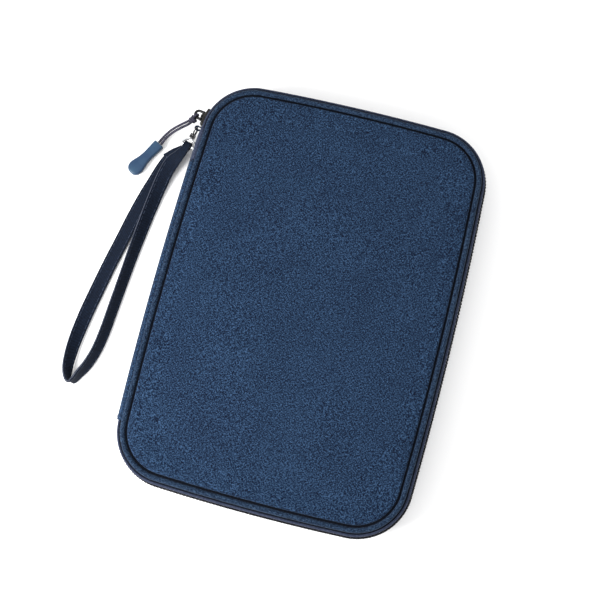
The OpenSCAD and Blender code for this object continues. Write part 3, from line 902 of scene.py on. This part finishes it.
def make_knot():
    """A hitch of the same cord drawn tight round both of its runs, just below the bail."""
    axis = Vector((-0.59, -0.79, -0.15)).normalized()
    flat = axis.cross(Vector((0.3, -0.2, 1))).normalized()
    lift = axis.cross(flat)
    points = []
    turns = 2.3
    for t in np.linspace(0, 1, 64):
        a = 2 * math.pi * turns * t
        swell = 1 + 0.12 * math.sin(a * 0.5 + 1)
        ring = flat * 1.6 * math.cos(a) + lift * 2.5 * math.sin(a)
        points.append(tuple(KNOT + axis * (t - 0.5) * 2.6 + ring * swell))
    knot = piece("cord_hitch", tube(points, CORD_D / 2, 10, guide=tuple(axis)), CORD_CLOTH, "puller")
    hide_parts("puller_cord_knot")
    return knot


def make_tab():
    """The moulded rubber tab: a square mouth, a slight waist and a round end."""
    stations = [
        (0.0, 3.15, 1.75), (0.25, 3.45, 2.05), (1.2, 3.55, 2.2), (5.5, 3.3, 2.2), (10.0, 3.1, 2.15),
        (13.5, 3.35, 2.2), (16.5, 4.1, 2.2), (19.0, 4.75, 2.2), (20.8, 4.9, 2.2), (22.6, 4.55, 2.2),
        (24.0, 3.65, 2.1), (24.9, 2.45, 1.8), (25.3, 1.2, 1.2),
    ]
    heading = math.radians(TAB_HEADING)
    along = Vector((math.cos(heading), math.sin(heading), 0))
    across = Vector((-along.y, along.x, 0))
    sides = 20
    verts = []
    for s, w, h in stations:
        for k in range(sides):
            a = 2 * math.pi * k / sides
            c, n = math.cos(a), math.sin(a)
            u = math.copysign(abs(c) ** 0.5, c) * w
            v = math.copysign(abs(n) ** 0.62, n) * h
            verts.append(tuple(TAB_MOUTH + along * s + across * u + Vector((0, 0, v))))
    tab = piece("rubber_tab", lofted(verts, sides), TAB_RUBBER)
    subdivided(tab, 2)
    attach(tab, "puller")
    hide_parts("pull_tab")
    return tab


# ---- Wrist strap and its hardware ----

STRAP_W, STRAP_T = 8.3, 1.6
RING_BAR = Vector((-95.0, 80.37, 7.05))
# The strap's route round the ring's bar and back: the middle's x, y, z, the width's heading and its tilt
STRAP_ROUTE = [
    (-95.05, 80.4, 5.3, 166, 0), (-97.4, 77.2, 5.1, 158, 0), (-101, 74, 4.2, 149, 0),
    (-104.5, 70, 2.9, 148, 0), (-107.4, 63.6, 1.8, 155, 0), (-110, 55, 1.3, 160, 0),
    (-113, 44.5, 1.2, 162, 0), (-116.2, 30.5, 1.2, 166, 0), (-119.2, 14.5, 1.3, 167, 3),
    (-122.4, -2, 1.5, 169, 6), (-125.1, -18.5, 1.9, 171, 12), (-127.6, -36, 2.7, 173, 24),
    (-129.1, -53, 3.7, 178, 40), (-129, -64.5, 4.4, 186, 54), (-128.1, -70.8, 4.7, 195, 66),
    (-126.9, -74.8, 4.9, 215, 80), (-125.1, -76.6, 4.9, 250, 84), (-122.9, -75.6, 4.8, 120, 78),
    (-120.6, -71, 4.6, 130, 70), (-117.4, -64.3, 4.4, 145, 64), (-114.6, -54.5, 4.2, 160, 61),
    (-113, -42, 4.1, 172, 59), (-112, -26, 4.1, 175, 58), (-111, -10, 4, 176, 56),
    (-110, 6, 3.9, 176, 52), (-108.9, 21, 3.6, 175, 45), (-107.6, 36, 3.2, 174, 36),
    (-106, 50, 3.3, 172, 24), (-104.3, 60, 4.4, 168, 15), (-102.1, 67.3, 5.7, 163, 11),
    (-98.6, 72.6, 7.5, 162, 0), (-96.2, 76.8, 8.4, 165, 0), (-95.05, 80.4, 8.8, 166, 0),
    (-94.75, 81.6, 8.3, 166, 0), (-94.6, 82.1, 7.05, 166, 0), (-94.75, 81.6, 5.8, 166, 0),
]
STRAP_GATHER, STRAP_TURN, STRAP_SPREAD = 4.4, 2, 0.35


def ribbon(route, width, thick, closed, steps=8, gather=None):
    """Flat webbing with a raised rim along both edges, and its frames for stitching."""
    fine = smooth_curve(route, steps, closed)
    count = len(fine)
    middle = fine[:, :3]
    along = tangents(middle, closed)
    heading, tilt = np.radians(fine[:, 3]), np.radians(fine[:, 4])
    aim = np.column_stack([np.cos(heading) * np.cos(tilt), np.sin(heading) * np.cos(tilt), np.sin(tilt)])
    wide = unit_rows(aim - along * np.sum(aim * along, axis=1)[:, None])
    over = np.cross(along, wide)
    across = [
        (-1, -0.5), (-0.97, -0.88), (-0.9, -1), (-0.8, -0.82), (-0.4, -0.78), (0, -0.76), (0.4, -0.78),
        (0.8, -0.82), (0.9, -1), (0.97, -0.88), (1, -0.5), (1, 0.5), (0.97, 0.88), (0.9, 1), (0.8, 0.82),
        (0.4, 0.78), (0, 0.76), (-0.4, 0.78), (-0.8, 0.82), (-0.9, 1), (-0.97, 0.88), (-1, 0.5),
    ]
    verts = []
    for k in range(count):
        w = width
        if gather is not None:
            far = float(np.linalg.norm(middle[k] - np.array(gather[0]))) - STRAP_TURN
            w = min(width, gather[1] + STRAP_SPREAD * max(far, 0))
        for a, b in across:
            verts.append(tuple(middle[k] + wide[k] * a * w / 2 + over[k] * b * thick / 2))
    return lofted(verts, len(across), closed), middle, wide, over


def make_strap():
    shape, middle, wide, over = ribbon(STRAP_ROUTE, STRAP_W, STRAP_T, True, 8, (RING_BAR, STRAP_GATHER))
    strap = piece("strap_band", shape, STRAP_CLOTH, "strap")
    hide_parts("wrist_strap")
    rows = []
    from_bar = np.linalg.norm(middle - np.array(RING_BAR), axis=1)
    keep = from_bar > 14
    for side in (-0.36, 0.36):
        for face in (-1, 1):
            line = middle + wide * STRAP_W * side + over * face * STRAP_T * 0.4
            rows.append(stitches(line[keep], np.median(over[keep], axis=0) * face, 2.6, 1.0, 0.11, 4))
    piece("strap_stitching", join(*rows), THREAD, "strap")
    away = np.maximum(from_bar - STRAP_TURN, 0)
    half = np.minimum(STRAP_W, STRAP_GATHER + STRAP_SPREAD * away) / 2 - 0.16
    # The raised rims are real shape; their lighter cloth is a painted highlight along both edges.
    rims = [tube(middle + wide * (side * half)[:, None], 0.42, 6, closed=True) for side in (-1, 1)]
    piece("strap_rims_painted_highlight", join(*rims), EDGE_HIGHLIGHT_CLOTH, "strap")
    make_tongue()


def make_tongue():
    """The strap's cut end, brought back over the bar and sewn down on the outer leg."""
    route = [
        (-97.2, 78.2, 6.6, 156, 0), (-98.5, 76.7, 6.4, 150, 0), (-100.7, 74.6, 5.95, 146, 0),
        (-103.3, 72.3, 5.25, 142, 0), (-106.4, 69.6, 4.2, 142, 0),
    ]
    shape, middle, wide, over = ribbon(route, 6.9, 0.9, False, 6, (RING_BAR, STRAP_GATHER))
    tongue = piece("strap_tongue", shape, STRAP_CLOTH, "strap")
    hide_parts("strap_tongue")
    ends = []
    for k in (5, -3):
        lift = over[k] * 0.35 * np.sign(over[k][2])
        cross = [middle[k] + wide[k] * w + lift for w in np.linspace(-2.7, 2.7, 12)]
        ends.append(stitches(cross, (0, 0, 1), 1.5, 0.5, 0.16))
    piece("tongue_stitching", join(*ends), THREAD, "strap")


def make_anchor():
    """A doubled ribbon that leaves the side wall and loops round the clasp's hook."""
    middle_z = 7.4
    loop = [
        (-85.6, 93.15), (-88.5, 93.15), (-90.4, 93.35), (-91.6, 93.7), (-92.9, 93.35), (-93.35, 92.4),
        (-92.9, 91.45), (-91.6, 91.1), (-90.4, 91.45), (-88.5, 91.65), (-85.6, 91.65),
    ]
    line = even_line(smooth_curve(loop, 6), 0.5, False)
    tall = 1.1
    profile = [(-0.26, -tall), (0.26, -tall), (0.3, 0), (0.26, tall), (-0.26, tall), (-0.3, 0)]
    shape = sweep(line, [(u, middle_z + z) for u, z in profile], False)
    anchor = piece("anchor_ribbon", shape, PIPING_CLOTH, "back")
    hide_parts("strap_anchor_tab")


def finish_metal():
    for node, finish in (
        ("puller_bail", BLACK_METAL), ("clasp_hook", GUNMETAL), ("clasp_gate", GUNMETAL),
        ("clasp_gate_pin", SILVER), ("swivel_d_ring", SILVER), ("pocket_slider", BLACK_METAL),
        ("pocket_puller", GUNMETAL), ("zip_end_stops", BLACK_METAL),
    ):
        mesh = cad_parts[node].data
        mesh.materials.clear()
        mesh.materials.append(finish)


# ---- Linings and pockets ----

SEWN = COVER_INSET + 1.0


def sewn_span(y, x0, x1):
    """The part of x0 to x1 that lies inside the sewn outline at the height y."""
    w = half_width(y, SEWN)
    return max(x0, -w), min(x1, w)


def flat_cloth(x0, x1, y0, y1, z, thick, swell=0.0, gape=0.0):
    """A cloth panel trimmed to the rounded outline, a little full in the middle and at its free top edge."""
    top = min(y1, CORNER_Y + CORNER_R - SEWN - 0.2)
    foot = max(y0, -(CORNER_Y + CORNER_R - SEWN - 0.2))
    rows = int((top - foot) / 4) + 2
    cols = int((x1 - x0) / 4) + 2
    ys = foot + (top - foot) * (1 - np.cos(np.linspace(0, math.pi, rows))) / 2
    layers = []
    for side in (0, 1):
        layer = []
        for y in ys:
            left, right = sewn_span(y, x0, x1)
            for u in np.linspace(0, 1, cols):
                v = (y - foot) / (top - foot)
                full = math.sin(math.pi * u) ** 0.7
                ripple = 0.12 * noise.noise(Vector((u * (x1 - x0) / 17, y / 19, z)))
                rise = full * (swell * math.sin(math.pi * v) + gape * v**4) + ripple * full * min(1, 4 * v)
                layer.append((left + (right - left) * u, y, z + rise + side * thick))
        layers.append(layer)
    count = rows * cols
    faces = grid_faces(rows, cols)
    faces += [tuple(i + count for i in reversed(f)) for f in grid_faces(rows, cols)]
    rim = list(range(cols)) + [i * cols + cols - 1 for i in range(1, rows)]
    rim += [(rows - 1) * cols + j for j in range(cols - 2, -1, -1)]
    rim += [i * cols for i in range(rows - 2, 0, -1)]
    faces += [(a, b, b + count, a + count) for a, b in zip(rim, rim[1:] + rim[:1])]
    return layers[0] + layers[1], faces


def hem_shape(x0, x1, y, z, gape, wide=4.2, thick=1.0):
    """A folded binding along a pocket's free edge, with a row of stitches."""
    left, right = sewn_span(y, x0, x1)
    line, row = [], []
    for u in np.linspace(0, 1, int((right - left) / 2.5) + 2):
        full = math.sin(math.pi * u) ** 0.7
        rise = gape * full + 0.12 * noise.noise(Vector((u * (x1 - x0) / 17, y / 19, z))) * full
        line.append((left + (right - left) * u, y, z + rise))
    verts = []
    side = wide / 2
    section = [
        (-side, -0.35), (-side + 0.3, 0.4), (0, 0.5), (side - 0.3, 0.5), (side, 0.1), (side - 0.3, -0.5),
        (0, -0.5),
    ]
    for px, py, pz in line:
        verts += [(px, py + a - wide / 2 + 0.6, pz + b * thick) for a, b in section]
        row.append((px, py - wide + 1.5, pz + 0.47 * thick))
    return lofted(verts, len(section)), stitches(row, (0, 0, 1), 2.4, 1.0, 0.13, 4)


def cloth_panel(node, body, x0, x1, y1, swell=0.0, gape=0.0, hem=True, cloth=None):
    """Replaces a flat CAD panel with cloth, a hem and its stitches. The front's are made facing up."""
    low, high = box_mm(node)
    thick = (high.z - low.z) * 0.8
    z = low.z if body == "back" else CASE_T - high.z
    flip = mirrored if body == "front" else (lambda shape: shape)
    shape = flip(flat_cloth(x0, x1, -HALF_L, y1, z, thick, swell, gape))
    sheet = piece(f"{node}_cloth", shape, cloth or POCKET_CLOTH, body)
    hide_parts(node)
    if hem:
        band, row = hem_shape(x0, x1, y1, z + thick * 0.6, gape)
        piece(f"{node}_hem", flip(band), BINDING_CLOTH, body)
        piece(f"{node}_hem_stitches", flip(row), THREAD, body)


def make_linings():
    edge = HALF_W
    split = box_mm("passport_pocket")[1].x
    for body in ("back", "front"):
        cloth_panel(f"{body}_lining", body, -edge, edge, HALF_L, 0.25, hem=False, cloth=LINING_CLOTH)
    for node, body, right, swell, gape, hem in (
        ("document_pocket", "back", edge, 0.2, 0.5, True),
        ("zip_pocket_panel", "back", edge, 0.2, 0.1, False),
        ("boarding_pass_pocket", "front", edge, 0.25, 0.9, True),
        ("passport_pocket", "front", split, 0.4, 0.9, True),
        ("small_note_pocket", "front", split, 0.4, 0.9, True),
    ):
        cloth_panel(node, body, -edge, right, box_mm(node)[1].y, swell, gape, hem)
    for k in range(1, 5):
        low, high = box_mm(f"card_slot_{k}")
        cloth_panel(f"card_slot_{k}", "front", low.x, edge, high.y, 0.15, 0.35)


def seam_binding_shape(body):
    """The tape that binds the raw edges inside the seam between cover and wall."""
    line = rounded_line(closed=True, step=2.0)
    base = CASE_T - LINING_Z
    section = [
        (4.5, -0.3), (5.1, -1.0), (6.6, -1.35), (8.4, -1.3), (9.5, -0.95), (9.9, -0.35), (9.0, -0.05),
        (5.2, 0.1),
    ]
    return sweep(line, [(u, base + z) for u, z in section], True)


def make_mesh_pocket():
    """An open knitted mesh with a bound top edge."""
    low, high = box_mm("mesh_pocket")
    z = (low.z + high.z) / 2
    cell = 2.6
    verts, index, faces = [], {}, []

    def corner(i, j):
        if (i, j) not in index:
            x, y = low.x + 1.0 + i * cell / 2, low.y + 0.6 + j * cell / 2
            bulge = 0.9 * math.sin(math.pi * min(max((x - low.x) / (high.x - low.x), 0), 1))
            bulge *= math.sin(math.pi * min(max((y - low.y) / (high.y - low.y), 0), 1)) ** 0.6
            index[(i, j)] = len(verts)
            verts.append((x, y, z + bulge))
        return index[(i, j)]

    for i in range(1, int(2 * (high.x - low.x - 2) / cell)):
        for j in range(1, int(2 * (high.y - low.y - 1) / cell)):
            x, y = low.x + 1.0 + i * cell / 2, low.y + 0.6 + j * cell / 2
            if (i + j) % 2 and inside_outline(x, y + cell / 2, SEWN + 1.4):
                faces.append((corner(i - 1, j), corner(i, j + 1), corner(i + 1, j), corner(i, j - 1)))
    net = piece("mesh_pocket_net", (verts, faces), MESH_YARN)
    wire = net.modifiers.new("yarn", "WIREFRAME")
    wire.thickness = 0.5 * MM
    wire.use_even_offset = False
    apply_modifiers(net)
    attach(net, "back")
    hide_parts("mesh_pocket")
    low, high = box_mm("mesh_pocket_binding")
    band, row = hem_shape(-HALF_W, HALF_W, high.y, (low.z + high.z) / 2, 0.8)
    hem = piece("mesh_pocket_hem", band, BINDING_CLOTH, "back")
    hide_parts("mesh_pocket_binding")
    piece("mesh_pocket_hem_stitches", row, THREAD, "back")


def make_pocket_zip():
    """The flat pocket's zip: tape, closed coil and top stitching."""
    low, high = box_mm("pocket_zip_tape")
    middle_y = (low.y + high.y) / 2
    shape = flat_cloth(low.x, high.x, low.y, high.y, low.z, 0.5)
    tape = piece("pocket_tape", shape, TAPE_CLOTH, "back")
    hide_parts("pocket_zip_tape")
    across = np.linspace(low.x + 1, high.x - 1, 40)
    rows = [
        stitches([(x, middle_y + side * 8.5, high.z - 0.05) for x in across], (0, 0, 1)) for side in (-1, 1)
    ]
    piece("pocket_tape_stitches", join(*rows), THREAD, "back")
    low, high = box_mm("pocket_zip_coil")
    pitch = 1.5
    steps = int((high.x - low.x) / pitch * 10)
    parts = []
    for side in (-1, 1):
        x = np.linspace(low.x, high.x, steps)
        phase = np.arange(steps) / 10 * 2 * math.pi + (side > 0) * math.pi
        y = middle_y + side * 0.85 + 1.05 * np.cos(phase)
        z = (low.z + high.z) / 2 - 0.1 + 0.5 * np.sin(phase)
        parts.append(tube(np.column_stack([x, y, z]), 0.28, 5, guide=(1, 0, 0)))
    coil = piece("pocket_coil_teeth", join(*parts), COIL_NYLON, "back")
    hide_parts("pocket_zip_coil")


def make_pen_loop():
    """A ribbed elastic loop with its sewn foot."""
    low, high = box_mm("pen_loop")
    centre = (low + high) / 2
    outer = (high.x - low.x) / 2
    rows, sides = 46, 28
    ring = 2 * sides
    verts = []
    for i in range(rows):
        y = low.y + (high.y - low.y) * i / (rows - 1)
        rib = 0.1 * math.sin(i * 2.2)
        turns = [2 * math.pi * k / sides for k in range(sides)]
        for r, angles in ((outer - 0.1 + rib, turns), (outer - 0.75, turns[::-1])):
            verts += [(centre.x + r * math.cos(a), y, centre.z + r * math.sin(a)) for a in angles]
    faces = []
    for i in range(rows - 1):
        for half in (0, sides):
            for k in range(sides):
                a, b = i * ring + half + k, i * ring + half + (k + 1) % sides
                faces.append((a, b, b + ring, a + ring))
    for base in (0, (rows - 1) * ring):
        for k in range(sides):
            inner = base + sides
            near, far = inner + (sides - 1 - k) % sides, inner + (sides - 2 - k) % sides
            faces.append((base + k, base + (k + 1) % sides, far, near))
    foot = block(centre.x - 3.6, centre.x + 3.6, low.y, high.y, LINING_Z + 0.15, low.z + 0.35)
    loop = piece("pen_loop_elastic", join((verts, faces), foot), BINDING_CLOTH, "back", sharp=50)
    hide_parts("pen_loop")


make_camera()
make_studio()
make_cord(make_knot(), make_tab())
make_covers()
make_edges()
make_spine()
make_end_cover()
make_slider()
make_strap()
make_anchor()
finish_metal()
make_linings()
on_both_covers(seam_binding_shape, "seam_binding", BINDING_CLOTH, "binding")
make_mesh_pocket()
make_pocket_zip()
make_pen_loop()
